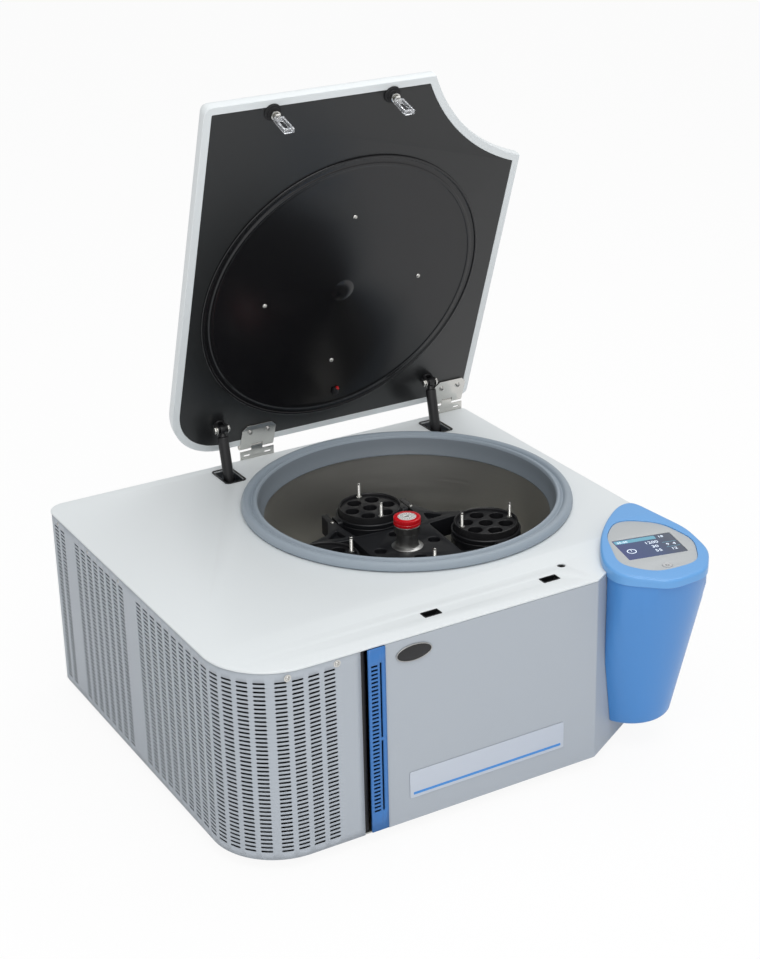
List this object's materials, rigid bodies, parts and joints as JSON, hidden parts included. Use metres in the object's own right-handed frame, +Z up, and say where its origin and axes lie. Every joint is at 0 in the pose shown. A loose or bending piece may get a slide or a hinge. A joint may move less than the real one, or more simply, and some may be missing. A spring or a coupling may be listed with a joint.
{
  "type": "benchtop centrifuge",
  "caption": "Bench-top cooled centrifuge for butterfat tests: hinged lid on gas struts, swing-out rotor in a steel bowl, wrap-around side grille and a control pod on a cut corner.",
  "frame": {"origin": "middle of the box around the machine with its lid open, on the bench", "axes": "+Z up, +Y from the front to the hinged rear, +X to the right as seen by the user"},
  "size_m": [0.697, 0.6861, 0.8539],
  "materials": {
    "aluminium": "turned",
    "black_plastic": "fine grain",
    "black_rubber": "matt",
    "blue_plastic": "fine grain",
    "board_green": "printed board",
    "clear_plastic": "clear",
    "dark_steel": "dark",
    "display_glass": "polished",
    "gloss_black_plastic": "gloss",
    "grey_paint": "fine texture",
    "pale_blue_plastic": "satin",
    "pale_grey_plastic": "smooth",
    "red_plastic": "smooth",
    "rotor_coating": "dark anodised",
    "seal_rubber": "smooth",
    "stainless_steel": "brushed",
    "white_paint": "satin",
    "zinc_plate": "zinc plated"
  },
  "bodies": {
    "cabinet": {"base_pan": "zinc_plate", "chamber_bowl": "stainless_steel", "chamber_seal": "seal_rubber", "compressor": "dark_steel", "condenser": "aluminium", "control_board": "board_green", "fan_shroud": "black_plastic", "foot_back_left": "black_rubber", "foot_back_right": "black_rubber", "foot_front_left": "black_rubber", "foot_front_right": "black_rubber", "front_panel": "grey_paint", "guard_ring": "dark_steel", "hinge_deck_left": "stainless_steel", "hinge_deck_right": "stainless_steel", "lock_housing": "dark_steel", "motor": "dark_steel", "motor_mount": "black_rubber", "name_plate": "pale_grey_plastic", "pod_cap": "pale_blue_plastic", "pod_fascia": "pale_grey_plastic", "pod_housing": "blue_plastic", "pod_screen": "display_glass", "power_entry": "black_plastic", "rear_panel": "grey_paint", "right_panel": "grey_paint", "shaft_boot": "black_rubber", "side_grille": "grey_paint", "strut_bracket": "dark_steel", "top_deck": "white_paint", "vent_strip": "blue_plastic"},
    "lid": {"lid_shell": "white_paint", "lid_liner": "black_plastic", "lid_ring_plate": "gloss_black_plastic", "latch_loop_left": "clear_plastic", "latch_loop_right": "clear_plastic", "strut_stud_left": "black_plastic", "strut_stud_right": "black_plastic", "hinge_lid_left": "stainless_steel", "hinge_lid_right": "stainless_steel"},
    "rotor": {"drive_spindle": "stainless_steel", "rotor_cross": "rotor_coating"},
    "knob": {"rotor_knob": "red_plastic"},
    "fan": {"condenser_fan": "pale_grey_plastic"},
    "button": {"power_button": "pale_grey_plastic"},
    "rocker": {"mains_switch": "red_plastic"},
    "strut_cylinder_left": {"strut_cylinder_left": "black_plastic"},
    "strut_rod_left": {"strut_rod_left": "stainless_steel"},
    "pawl_left": {"lock_pawl_left": "stainless_steel"},
    "strut_cylinder_right": {"strut_cylinder_right": "black_plastic"},
    "strut_rod_right": {"strut_rod_right": "stainless_steel"},
    "pawl_right": {"lock_pawl_right": "stainless_steel"},
    "bucket_1": {"bucket_1": "rotor_coating", "tube_insert_1": "black_plastic"},
    "bucket_2": {"bucket_2": "rotor_coating", "tube_insert_2": "black_plastic"},
    "bucket_3": {"bucket_3": "rotor_coating", "tube_insert_3": "black_plastic"},
    "bucket_4": {"bucket_4": "rotor_coating", "tube_insert_4": "black_plastic"}
  },
  "joints": [
    {"name": "lid_hinge", "type": "hinge", "parent": "cabinet", "child": "lid", "pos_m": [0, 0.32504, 0.29547], "axis": [1, 0, 0], "range_deg": [0, 70.4]},
    {"name": "strut_pivot_left", "type": "hinge", "parent": "lid", "child": "strut_cylinder_left", "pos_m": [-0.084, 0.2929, 0.344], "axis": [1, 0, 0], "range_deg": [-65.37, 0]},
    {"name": "strut_slide_left", "type": "slide", "parent": "strut_cylinder_left", "child": "strut_rod_left", "axis": [0, 0.2142, 0.9768], "range_m": [0, 0.06603]},
    {"name": "strut_pivot_right", "type": "hinge", "parent": "lid", "child": "strut_cylinder_right", "pos_m": [0.2659, 0.2929, 0.344], "axis": [1, 0, 0], "range_deg": [-65.37, 0]},
    {"name": "strut_slide_right", "type": "slide", "parent": "strut_cylinder_right", "child": "strut_rod_right", "axis": [0, 0.2142, 0.9768], "range_m": [0, 0.06603]},
    {"name": "rotor_spin", "type": "hinge", "parent": "cabinet", "child": "rotor", "pos_m": [0.0885, 0.06626, 0.19897], "axis": [0, 0, 1], "continuous": true},
    {"name": "knob_turn", "type": "hinge", "parent": "rotor", "child": "knob", "pos_m": [0.0885, 0.06626, 0.24047], "axis": [0, 0, 1], "range_deg": [0, 720]},
    {"name": "bucket_swing_1", "type": "hinge", "parent": "rotor", "child": "bucket_1", "pos_m": [0.21302, 0.05537, 0.19897], "axis": [-0.0872, -0.9962, 0], "range_deg": [0, 90]},
    {"name": "bucket_swing_2", "type": "hinge", "parent": "rotor", "child": "bucket_2", "pos_m": [0.09939, 0.19079, 0.19897], "axis": [0.9962, -0.0872, 0], "range_deg": [0, 90]},
    {"name": "bucket_swing_3", "type": "hinge", "parent": "rotor", "child": "bucket_3", "pos_m": [-0.03602, 0.07716, 0.19897], "axis": [0.0872, 0.9962, 0], "range_deg": [0, 90]},
    {"name": "bucket_swing_4", "type": "hinge", "parent": "rotor", "child": "bucket_4", "pos_m": [0.07761, -0.05826, 0.19897], "axis": [-0.9962, 0.0872, 0], "range_deg": [0, 90]},
    {"name": "fan_spin", "type": "hinge", "parent": "cabinet", "child": "fan", "pos_m": [-0.34847, -0.04471, 0.143], "axis": [1, 0, 0], "continuous": true},
    {"name": "button_press", "type": "slide", "parent": "cabinet", "child": "button", "axis": [0, 0, -1], "range_m": [0, 0.0015], "stiffness_N_per_m": 600, "springref_m": -0.001},
    {"name": "switch_rock", "type": "hinge", "parent": "cabinet", "child": "rocker", "pos_m": [-0.18847, 0.31474, 0.075], "axis": [1, 0, 0], "range_deg": [0, 14]},
    {"name": "pawl_slide_left", "type": "slide", "parent": "cabinet", "child": "pawl_left", "axis": [0, -1, 0], "range_m": [0, 0.017]},
    {"name": "pawl_slide_right", "type": "slide", "parent": "cabinet", "child": "pawl_right", "axis": [0, -1, 0], "range_m": [0, 0.017]}
  ],
  "couplings": [
    {"joint": "strut_pivot_left", "follows": "lid_hinge", "ratio": -0.92784},
    {"joint": "strut_slide_left", "follows": "lid_hinge", "m_per_rad": 0.05358},
    {"joint": "strut_pivot_right", "follows": "lid_hinge", "ratio": -0.92784},
    {"joint": "strut_slide_right", "follows": "lid_hinge", "m_per_rad": 0.05358},
    {"joint": "pawl_slide_right", "follows": "pawl_slide_left", "ratio": 1}
  ]
}
